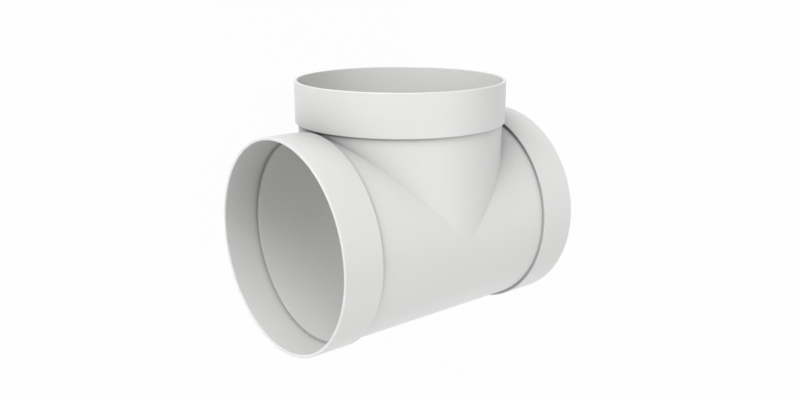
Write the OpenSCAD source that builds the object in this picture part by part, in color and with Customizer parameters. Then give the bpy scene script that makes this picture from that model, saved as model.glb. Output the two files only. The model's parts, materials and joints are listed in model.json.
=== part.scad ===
// Equal tee for round ventilation duct, moulded in one piece with a socket on each of its three arms.
// It lies on its side, on all three collars, as it comes to rest when nothing holds it.
// The run is along X and the branch along +Y. The origin is on the surface under the tee, at the middle
// of the area that it covers.

/* [Duct] */
// Outside diameter of the duct that plugs into each socket
duct_d = 100; // [80:1:200]

/* [Sockets] */
// Gap all round between the duct and the socket wall
duct_clearance = 0.5; // [0.1:0.1:1.5]
// Thickness of the socket wall
socket_wall = 1.5; // [1.2:0.1:4]
// How far a duct goes in before it meets the stop
socket_depth = 18.5; // [12:0.5:60]
// How far the stop stands in from the socket wall
stop_height = 1.5; // [0.8:0.1:4]
// Length of collar behind the stop, where the socket wall turns in to the body
stop_thickness = 2.1; // [1.2:0.1:5]

/* [Body] */
// Thickness of the body wall between the sockets
body_wall = 1.5; // [1.2:0.1:4]
// Gap left between the branch collar and each run collar where they come closest
collar_gap = 0.4; // [0.2:0.1:60]

/* [Edges] */
// Radius on the edges of the rims and on the back edge of each collar
edge_radius = 0.4; // [0.1:0.1:0.5]

/* [Hidden] */
$fn = 180;

plastic_white = [0.93, 0.93, 0.92];
// Straight steps that make up each rounded edge
edge_steps = 6;
// How far a cut runs past the face that it opens
past_face = 1;

socket_r = duct_d / 2 + duct_clearance;
collar_r = socket_r + socket_wall;
bore_r = socket_r - stop_height;
body_r = bore_r + body_wall;
collar_length = socket_depth + stop_thickness;
centre_to_mouth = collar_r + collar_gap + collar_length;
// Height of the arms' axes above the surface that the tee lies on
axis_height = max(collar_r, body_r);
// The tee reaches axis_height behind the crossing and centre_to_mouth in front of it
crossing_y = (axis_height - centre_to_mouth) / 2;

// Points along an arc from one angle to another
function arc_points(centre, radius, from_angle, to_angle) = [
    for (step = [0 : edge_steps])
        let (angle = from_angle + (to_angle - from_angle) * step / edge_steps)
            centre + radius * [cos(angle), sin(angle)]
];

// Outline of a collar, from its axis out to its two rounded edges, with its back face at height 0
function collar_outline() = concat(
    [[0, 0]],
    arc_points([collar_r - edge_radius, edge_radius], edge_radius, -90, 0),
    arc_points([collar_r - edge_radius, collar_length - edge_radius], edge_radius, 0, 90),
    [[0, collar_length]]
);

// Outline of a socket's hollow, from its flat bottom at height 0 out to the rounded inner edge of the rim
function socket_outline() = concat(
    [[0, 0], [socket_r, 0]],
    arc_points([socket_r + edge_radius, socket_depth - edge_radius], edge_radius, 180, 90),
    [[socket_r + edge_radius, socket_depth + past_face], [0, socket_depth + past_face]]
);

// Turns what is drawn along +Z at the crossing to each of the three arms
module on_each_arm() {
    for (lean = [-90, 0, 90])
        rotate([0, lean, 0]) children();
}

// Round run and round branch of one radius, whose meeting edges are two mitre curves
module crossed_pipes(radius, reach) {
    rotate([0, 90, 0]) cylinder(r = radius, h = 2 * reach, center = true);
    cylinder(r = radius, h = reach);
}

// Wider end of one arm
module collar() {
    translate([0, 0, centre_to_mouth - collar_length])
        rotate_extrude() polygon(collar_outline());
}

// Hollow at the end of one arm that takes the duct, down to the stop
module socket_hollow() {
    translate([0, 0, centre_to_mouth - socket_depth])
        rotate_extrude() polygon(socket_outline());
}

// The moulding round the crossing, with its branch along +Z
module tee_at_crossing() {
    difference() {
        union() {
            crossed_pipes(body_r, centre_to_mouth - socket_depth);
            on_each_arm() collar();
        }
        crossed_pipes(bore_r, centre_to_mouth - socket_depth + past_face);
        on_each_arm() socket_hollow();
    }
}

// The whole moulding, laid down with its branch along +Y
module tee_body() {
    color(plastic_white)
        translate([0, crossing_y, axis_height])
            rotate([-90, 0, 0])
                tee_at_crossing();
}

tee_body();
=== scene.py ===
import json
import math

import bpy
from bpy.props import FloatProperty, FloatVectorProperty, IntProperty, PointerProperty
from bpy.types import Operator, Panel, PropertyGroup
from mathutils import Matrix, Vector


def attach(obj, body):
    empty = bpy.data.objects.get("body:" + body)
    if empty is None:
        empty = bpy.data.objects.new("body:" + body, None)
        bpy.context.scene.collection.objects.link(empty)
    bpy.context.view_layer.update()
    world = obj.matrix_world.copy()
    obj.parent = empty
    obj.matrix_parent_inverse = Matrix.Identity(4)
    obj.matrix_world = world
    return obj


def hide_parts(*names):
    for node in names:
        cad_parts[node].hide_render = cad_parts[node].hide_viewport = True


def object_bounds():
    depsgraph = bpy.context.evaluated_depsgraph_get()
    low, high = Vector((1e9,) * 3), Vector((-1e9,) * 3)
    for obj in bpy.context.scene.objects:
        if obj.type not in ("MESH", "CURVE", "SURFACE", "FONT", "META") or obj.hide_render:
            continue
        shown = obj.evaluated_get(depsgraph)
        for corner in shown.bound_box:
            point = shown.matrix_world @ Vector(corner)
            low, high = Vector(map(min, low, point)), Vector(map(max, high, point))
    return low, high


bl_info = {
    "name": "Duct Tee",
    "version": (1, 0, 0),
    "blender": (4, 5, 0),
    "location": "3D View > Sidebar > Duct Tee",
    "description": "Models a moulded equal tee for round ventilation duct, with its plastic and its studio",
    "category": "Object",
}

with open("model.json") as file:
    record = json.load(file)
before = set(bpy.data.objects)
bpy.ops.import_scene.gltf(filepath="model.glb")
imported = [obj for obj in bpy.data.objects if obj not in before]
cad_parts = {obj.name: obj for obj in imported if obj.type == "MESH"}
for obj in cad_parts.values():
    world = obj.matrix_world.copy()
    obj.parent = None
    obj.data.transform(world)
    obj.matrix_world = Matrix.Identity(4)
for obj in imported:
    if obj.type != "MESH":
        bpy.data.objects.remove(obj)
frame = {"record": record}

NODE = "tee_body"
BODY = "root"
MM = 0.001
CAD_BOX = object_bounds()
MOUNTS = {mount["name"]: mount for mount in frame["record"]["mounts"]}

SOCKET_RADIUS = MOUNTS["branch_socket"]["dims"]["r_mm"] * MM
COLLAR_RADIUS = (CAD_BOX[1].z - CAD_BOX[0].z) / 2
CENTRE_TO_MOUTH = CAD_BOX[1].x
CROSSING = Vector((0, CAD_BOX[1].y - CENTRE_TO_MOUTH, (CAD_BOX[0].z + CAD_BOX[1].z) / 2))


class TeeSizes(PropertyGroup):
    """Sizes of the moulding that the frame doesn't state."""

    socket_depth: FloatProperty(
        name="Socket Depth", description="From the mouth to the stop",
        default=18.5 * MM, min=5 * MM, subtype="DISTANCE", unit="LENGTH",
    )
    stop_height: FloatProperty(
        name="Stop Height", description="How far the stop stands in from the socket wall",
        default=1.5 * MM, min=0.5 * MM, subtype="DISTANCE", unit="LENGTH",
    )
    stop_thickness: FloatProperty(
        name="Stop Thickness", description="Length of collar behind the stop",
        default=2.1 * MM, min=1 * MM, subtype="DISTANCE", unit="LENGTH",
    )
    body_wall: FloatProperty(
        name="Body Wall", description="Thickness of the wall between the sockets",
        default=1.5 * MM, min=1 * MM, subtype="DISTANCE", unit="LENGTH",
    )
    edge_radius: FloatProperty(
        name="Edge Radius", description="Rounding of the rims and of the collars' back edges",
        default=0.4 * MM, min=0.1 * MM, max=0.6 * MM, subtype="DISTANCE", unit="LENGTH",
    )
    segments: IntProperty(
        name="Segments", description="Faces round each arm, a multiple of four",
        default=192, min=32, step=4,
    )


class PlasticFinish(PropertyGroup):
    """Colour and surface of the moulded plastic, with painted shade in its corners and bores."""

    colour: FloatVectorProperty(
        name="Colour", description="Base colour of the plastic",
        default=(0.86, 0.86, 0.85), size=3, min=0, max=1, subtype="COLOR",
    )
    # Painted shade: the dark colour mixed into the plastic in corners and inside the bores
    painted_shade_colour: FloatVectorProperty(
        name="Painted Shade Colour", description="Duller colour deep in corners and inside the bores",
        default=(0.03, 0.03, 0.03), size=3, min=0, max=1, subtype="COLOR",
    )
    # Reach of the painted shade: a facing wall this close darkens the colour
    painted_shade_reach: FloatProperty(
        name="Painted Shade Reach", description="How far a facing wall dulls the surface",
        default=80 * MM, min=1 * MM, subtype="DISTANCE", unit="LENGTH",
    )
    roughness: FloatProperty(
        name="Roughness", description="Mean roughness of the moulded surface",
        default=0.42, min=0, max=1, subtype="FACTOR",
    )
    roughness_spread: FloatProperty(
        name="Roughness Spread", description="How far the roughness goes up and down in soft patches",
        default=0.07, min=0, max=0.3, subtype="FACTOR",
    )
    patch_size: FloatProperty(
        name="Patch Size", description="Size of the soft patches",
        default=18 * MM, min=1 * MM, subtype="DISTANCE", unit="LENGTH",
    )
    grain_size: FloatProperty(
        name="Grain Size", description="Size of the fine grain that the mould leaves",
        default=0.45 * MM, min=0.05 * MM, subtype="DISTANCE", unit="LENGTH",
    )
    grain_height: FloatProperty(
        name="Grain Height", description="Height of the fine grain",
        default=0.006 * MM, min=0, subtype="DISTANCE", unit="LENGTH",
    )


class StudioSettings(PropertyGroup):
    """Floor, light and camera."""

    floor_colour: FloatVectorProperty(
        name="Floor Colour", description="Colour of the floor",
        default=(0.92, 0.92, 0.92), size=3, min=0, max=1, subtype="COLOR",
    )
    floor_size: FloatProperty(
        name="Floor Size", description="Length of the floor's sides",
        default=12, min=1, subtype="DISTANCE", unit="LENGTH",
    )
    white_share: FloatProperty(
        name="White Share", description="How much of the floor's picture is plain white; the rest shows shadows",
        default=0.96, min=0, max=1, subtype="FACTOR",
    )
    world_strength: FloatProperty(
        name="World Strength", description="Light from all round",
        default=0.33, min=0,
    )
    lamp_spread: FloatProperty(
        name="Lamp Spread", description="Angle that each soft lamp covers",
        default=math.radians(50), min=0, max=math.pi, subtype="ANGLE", unit="ROTATION",
    )


# Straight steps that make up each rounded edge
EDGE_STEPS = 6
# Distance of the rings that keep the shading flat beside an edge
SUPPORT = 0.3 * MM
# Points of two arms that are closer than this at a mitre become one
WELD = 0.004 * MM
# Edges that turn by more than this stay sharp
SHARP_ANGLE = math.radians(30)

# Lightest and darkest share of the colour in the soft patches
MOTTLE = (0.985, 1.0)
# Range of the noise that the roughness follows
NOISE_RANGE = (0.3, 0.7)
GRAIN_STRENGTH = 0.6
# Samples of the Ambient Occlusion node that places the painted shade
PAINTED_SHADE_SAMPLES = 8

# The photo's camera, fitted to the tee's outline
CAMERA_LENS = 39.08
CAMERA_SENSOR = 36
CAMERA_SHIFT = (0.0009, 0.0090)
CAMERA_PLACE = (-0.27504, 0.11576, 0.38172)
CAMERA_TURN = (-15.516, -39.781, 0)

# Soft lamps: name, direction that the light comes from, and the share of full white that it gives
LAMPS = (
    ("key", (-0.60, 0.78, 0.16), 0.75),
    ("side", (-0.97, 0.05, 0.20), 0.12),
    ("front", (0.10, 0.25, 0.96), 0.17),
    ("low", (0.20, -0.80, 0.56), 0.30),
)


def deselect_all():
    """Leaves nothing selected, in object mode."""
    if bpy.context.object and bpy.context.object.mode != "OBJECT":
        bpy.ops.object.mode_set(mode="OBJECT")
    bpy.ops.object.select_all(action="DESELECT")


def make_active(obj):
    """Selects one object alone and makes it the active one."""
    deselect_all()
    obj.select_set(True)
    bpy.context.view_layer.objects.active = obj


def edit(obj, kind):
    """Opens one object in edit mode with nothing selected, for picking vertices, edges or faces."""
    make_active(obj)
    bpy.ops.object.mode_set(mode="EDIT")
    bpy.ops.mesh.select_mode(type=kind)
    bpy.ops.mesh.select_all(action="DESELECT")


def leave_edit():
    """Goes back to object mode."""
    bpy.ops.object.mode_set(mode="OBJECT")


def rounded_corner(centre, radius, start, end):
    """Stations (distance along the arm, radius from its axis) round an arc, given in degrees."""
    steps = [start + (end - start) * i / EDGE_STEPS for i in range(EDGE_STEPS + 1)]
    return [
        (centre[0] + radius * math.cos(math.radians(a)), centre[1] + radius * math.sin(math.radians(a)))
        for a in steps
    ]


def arm_stations(sizes):
    """The wall of one arm as stations, outwards over the collar, round the rim and back in along the bore."""
    edge = sizes.edge_radius
    bore = SOCKET_RADIUS - sizes.stop_height
    body = bore + sizes.body_wall
    mouth = CENTRE_TO_MOUTH
    stop = mouth - sizes.socket_depth
    back = stop - sizes.stop_thickness
    collar = COLLAR_RADIUS
    return [
        (0, body),
        (back - SUPPORT, body),
        (back, body),
        *rounded_corner((back + edge, collar - edge), edge, 180, 90),
        (back + edge + SUPPORT, collar),
        (mouth - edge - SUPPORT, collar),
        *rounded_corner((mouth - edge, collar - edge), edge, 90, 0),
        *rounded_corner((mouth - edge, SOCKET_RADIUS + edge), edge, 0, -90),
        (mouth - edge - SUPPORT, SOCKET_RADIUS),
        (stop + SUPPORT, SOCKET_RADIUS),
        (stop, SOCKET_RADIUS),
        *rounded_corner((stop - edge / 2, bore + edge / 2), edge / 2, 0, -90),
        (stop - edge / 2 - SUPPORT, bore),
        (0, bore),
    ]


def turn_arm(sizes):
    """One whole arm along +Z from the crossing: a ring of edges, pulled from station to station."""
    stations = arm_stations(sizes)
    along, radius = stations[0]
    deselect_all()
    bpy.ops.mesh.primitive_circle_add(vertices=sizes.segments, radius=radius, location=(0, 0, along))
    arm = bpy.context.object
    bpy.ops.object.transform_apply(location=True, rotation=True, scale=True)
    edit(arm, "EDGE")
    bpy.ops.mesh.select_all(action="SELECT")
    for next_along, next_radius in stations[1:]:
        bpy.ops.mesh.extrude_edges_move(TRANSFORM_OT_translate={"value": (0, 0, next_along - along)})
        share = next_radius / radius
        bpy.ops.transform.resize(value=(share, share, 1), center_override=(0, 0, next_along))
        along, radius = next_along, next_radius
    leave_edit()
    return arm


def copy_of(obj, name):
    """A copy with a mesh of its own."""
    make_active(obj)
    bpy.ops.object.duplicate(linked=False)
    twin = bpy.context.object
    twin.name = name
    return twin


def lean(obj, degrees):
    """Turns an arm about the Y axis through the crossing."""
    make_active(obj)
    obj.rotation_euler = (0, math.radians(degrees), 0)
    bpy.ops.object.transform_apply(location=False, rotation=True, scale=False)


def mitre(obj, normal):
    """Cuts an arm by a plane through the crossing, keeps the side of the normal and makes a sharp crease."""
    edit(obj, "EDGE")
    bpy.ops.mesh.select_all(action="SELECT")
    bpy.ops.mesh.bisect(
        plane_co=(0, 0, 0), plane_no=normal, use_fill=False,
        clear_inner=True, clear_outer=False, threshold=1e-7,
    )
    bpy.ops.mesh.mark_sharp()
    leave_edit()


def join(name, *objs):
    """Joins objects into one of that name and closes the seams between them."""
    deselect_all()
    for obj in objs:
        obj.select_set(True)
    bpy.context.view_layer.objects.active = objs[0]
    bpy.ops.object.join()
    joined = bpy.context.object
    joined.name = name
    joined.data.name = name
    edit(joined, "VERT")
    bpy.ops.mesh.select_all(action="SELECT")
    bpy.ops.mesh.remove_doubles(threshold=WELD)
    bpy.ops.mesh.normals_make_consistent(inside=False)
    leave_edit()
    return joined


def tee_object(sizes):
    """Three arms round the crossing at the origin, cut to mitres and joined."""
    branch = turn_arm(sizes)
    near = copy_of(branch, "near_arm")
    far = copy_of(branch, "far_arm")
    lean(near, -90)
    lean(far, 90)
    mitre(near, (-1, 0, -1))
    mitre(far, (1, 0, -1))
    mitre(branch, (-1, 0, 1))
    mitre(branch, (1, 0, 1))
    return join("duct_tee", branch, near, far)


class DUCTTEE_OT_tee(Operator):
    """Models the tee: one arm turned, copied, mitred and joined"""

    bl_idname = "ducttee.tee"
    bl_label = "Tee"

    def execute(self, context):
        tee = tee_object(context.scene.tee_sizes)
        make_active(tee)
        tee.rotation_euler = (math.radians(-90), 0, 0)
        tee.location = CROSSING
        bpy.ops.object.transform_apply(location=True, rotation=True, scale=False)
        bpy.ops.object.shade_smooth_by_angle(angle=SHARP_ANGLE)
        tee.data.materials.clear()
        tee.data.materials.append(moulded_plastic(context.scene.plastic_finish))
        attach(tee, BODY)
        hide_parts(NODE)
        return {"FINISHED"}


def noise(nodes, links, place, size, detail):
    """Noise whose features have about the given size."""
    texture = nodes.new("ShaderNodeTexNoise")
    texture.inputs["Scale"].default_value = 1 / size
    texture.inputs["Detail"].default_value = detail
    links.new(place, texture.inputs["Vector"])
    return texture.outputs["Fac"]


def moulded_plastic(finish):
    """White plastic with a satin gloss: soft patches of roughness, a fine grain, and painted shade that darkens
    the colour in corners and inside the bores.
    """
    material = bpy.data.materials.new("moulded_white_plastic")
    material.use_nodes = True
    nodes = material.node_tree.nodes
    links = material.node_tree.links
    shader = nodes["Principled BSDF"]
    place = nodes.new("ShaderNodeTexCoord").outputs["Object"]
    patches = noise(nodes, links, place, finish.patch_size, 3)
    grain = noise(nodes, links, place, finish.grain_size, 4)

    # Painted shade: an Ambient Occlusion node finds where the surface is enclosed, in corners and inside the
    # bores, and a dark colour is mixed into the base colour there
    painted_shade_mask = nodes.new("ShaderNodeAmbientOcclusion")
    painted_shade_mask.samples = PAINTED_SHADE_SAMPLES
    painted_shade_mask.only_local = True
    painted_shade_mask.inputs["Distance"].default_value = finish.painted_shade_reach
    painted_shade_mix = nodes.new("ShaderNodeMix")
    painted_shade_mix.data_type = "RGBA"
    painted_shade_mix.inputs["A"].default_value = (*finish.painted_shade_colour, 1)
    painted_shade_mix.inputs["B"].default_value = (*finish.colour, 1)
    links.new(painted_shade_mask.outputs["AO"], painted_shade_mix.inputs["Factor"])
    mottle = nodes.new("ShaderNodeHueSaturation")
    value = nodes.new("ShaderNodeMapRange")
    value.inputs["To Min"].default_value = MOTTLE[0]
    value.inputs["To Max"].default_value = MOTTLE[1]
    links.new(patches, value.inputs["Value"])
    links.new(value.outputs["Result"], mottle.inputs["Value"])
    links.new(painted_shade_mix.outputs["Result"], mottle.inputs["Color"])
    links.new(mottle.outputs["Color"], shader.inputs["Base Color"])

    rough = nodes.new("ShaderNodeMapRange")
    rough.inputs["From Min"].default_value = NOISE_RANGE[0]
    rough.inputs["From Max"].default_value = NOISE_RANGE[1]
    rough.inputs["To Min"].default_value = finish.roughness - finish.roughness_spread
    rough.inputs["To Max"].default_value = finish.roughness + finish.roughness_spread
    links.new(patches, rough.inputs["Value"])
    links.new(rough.outputs["Result"], shader.inputs["Roughness"])

    bump = nodes.new("ShaderNodeBump")
    bump.inputs["Strength"].default_value = GRAIN_STRENGTH
    bump.inputs["Distance"].default_value = finish.grain_height
    links.new(grain, bump.inputs["Height"])
    links.new(bump.outputs["Normal"], shader.inputs["Normal"])
    return material


def floor_material(settings):
    """A pale floor. Seen by the camera or in a reflection it is mostly plain white, and keeps its shadows."""
    material = bpy.data.materials.new("pale_floor")
    material.use_nodes = True
    nodes = material.node_tree.nodes
    links = material.node_tree.links
    nodes.clear()
    output = nodes.new("ShaderNodeOutputMaterial")
    diffuse = nodes.new("ShaderNodeBsdfDiffuse")
    diffuse.inputs["Color"].default_value = (*settings.floor_colour, 1)
    white = nodes.new("ShaderNodeEmission")
    white.inputs["Strength"].default_value = 1.0
    mix = nodes.new("ShaderNodeMixShader")
    path = nodes.new("ShaderNodeLightPath")
    seen = path.outputs["Is Camera Ray"]
    for ray in ("Is Glossy Ray", "Is Transmission Ray"):
        either = nodes.new("ShaderNodeMath")
        either.operation = "MAXIMUM"
        links.new(seen, either.inputs[0])
        links.new(path.outputs[ray], either.inputs[1])
        seen = either.outputs[0]
    share = nodes.new("ShaderNodeMath")
    share.operation = "MULTIPLY"
    share.inputs[1].default_value = settings.white_share
    links.new(seen, share.inputs[0])
    links.new(share.outputs[0], mix.inputs["Fac"])
    links.new(diffuse.outputs[0], mix.inputs[1])
    links.new(white.outputs[0], mix.inputs[2])
    links.new(mix.outputs[0], output.inputs["Surface"])
    return material


def studio_world(settings):
    """Even light from all round, which the camera sees as plain white."""
    world = bpy.data.worlds.new("studio")
    world.use_nodes = True
    nodes = world.node_tree.nodes
    links = world.node_tree.links
    background = nodes["Background"]
    background.inputs["Color"].default_value = (1, 1, 1, 1)
    path = nodes.new("ShaderNodeLightPath")
    strength = nodes.new("ShaderNodeMapRange")
    strength.inputs["To Min"].default_value = settings.world_strength
    strength.inputs["To Max"].default_value = 1.0
    links.new(path.outputs["Is Camera Ray"], strength.inputs["Value"])
    links.new(strength.outputs["Result"], background.inputs["Strength"])
    return world


def soft_lamp(name, direction, share, spread):
    """A soft lamp far away, whose light comes from the given direction."""
    lamp = bpy.data.lights.new(name, "SUN")
    lamp.energy = share * math.pi
    lamp.angle = spread
    holder = bpy.data.objects.new(name, lamp)
    bpy.context.scene.collection.objects.link(holder)
    holder.rotation_euler = Vector(direction).to_track_quat("Z", "Y").to_euler()


def photo_camera():
    """The camera at the photo's viewing angle: it looks down on the tee and is rolled."""
    camera = bpy.data.cameras.new("camera")
    camera.lens = CAMERA_LENS
    camera.sensor_width = CAMERA_SENSOR
    camera.shift_x, camera.shift_y = CAMERA_SHIFT
    eye = bpy.data.objects.new("camera", camera)
    bpy.context.scene.collection.objects.link(eye)
    eye.location = CAMERA_PLACE
    eye.rotation_euler = [math.radians(degrees) for degrees in CAMERA_TURN]
    return eye


class DUCTTEE_OT_studio(Operator):
    """Lays the floor and sets up the light and the camera"""

    bl_idname = "ducttee.studio"
    bl_label = "Studio"

    def execute(self, context):
        settings = context.scene.studio_settings
        deselect_all()
        bpy.ops.mesh.primitive_plane_add(size=settings.floor_size, location=(0, 0, CAD_BOX[0].z))
        floor = bpy.context.object
        floor.name = "floor"
        bpy.ops.object.transform_apply(location=True, rotation=True, scale=True)
        floor.data.materials.append(floor_material(settings))
        context.scene.world = studio_world(settings)
        for name, direction, share in LAMPS:
            soft_lamp(name, direction, share, settings.lamp_spread)
        context.scene.camera = photo_camera()
        context.scene.view_settings.view_transform = "Standard"
        return {"FINISHED"}


class DUCTTEE_PT_sidebar(Panel):
    """Lists the steps that make the tee and its studio"""

    bl_idname = "DUCTTEE_PT_sidebar"
    bl_label = "Duct Tee"
    bl_space_type = "VIEW_3D"
    bl_region_type = "UI"
    bl_category = "Duct Tee"

    def draw(self, context):
        for operator in (DUCTTEE_OT_tee, DUCTTEE_OT_studio):
            self.layout.operator(operator.bl_idname)


CLASSES = (TeeSizes, PlasticFinish, StudioSettings, DUCTTEE_OT_tee, DUCTTEE_OT_studio, DUCTTEE_PT_sidebar)


def register():
    for cls in CLASSES:
        bpy.utils.register_class(cls)
    bpy.types.Scene.tee_sizes = PointerProperty(type=TeeSizes)
    bpy.types.Scene.plastic_finish = PointerProperty(type=PlasticFinish)
    bpy.types.Scene.studio_settings = PointerProperty(type=StudioSettings)


def unregister():
    del bpy.types.Scene.studio_settings
    del bpy.types.Scene.plastic_finish
    del bpy.types.Scene.tee_sizes
    for cls in reversed(CLASSES):
        bpy.utils.unregister_class(cls)


def main():
    register()
    bpy.ops.ducttee.tee()
    bpy.ops.ducttee.studio()


if __name__ == "__main__":
    main()
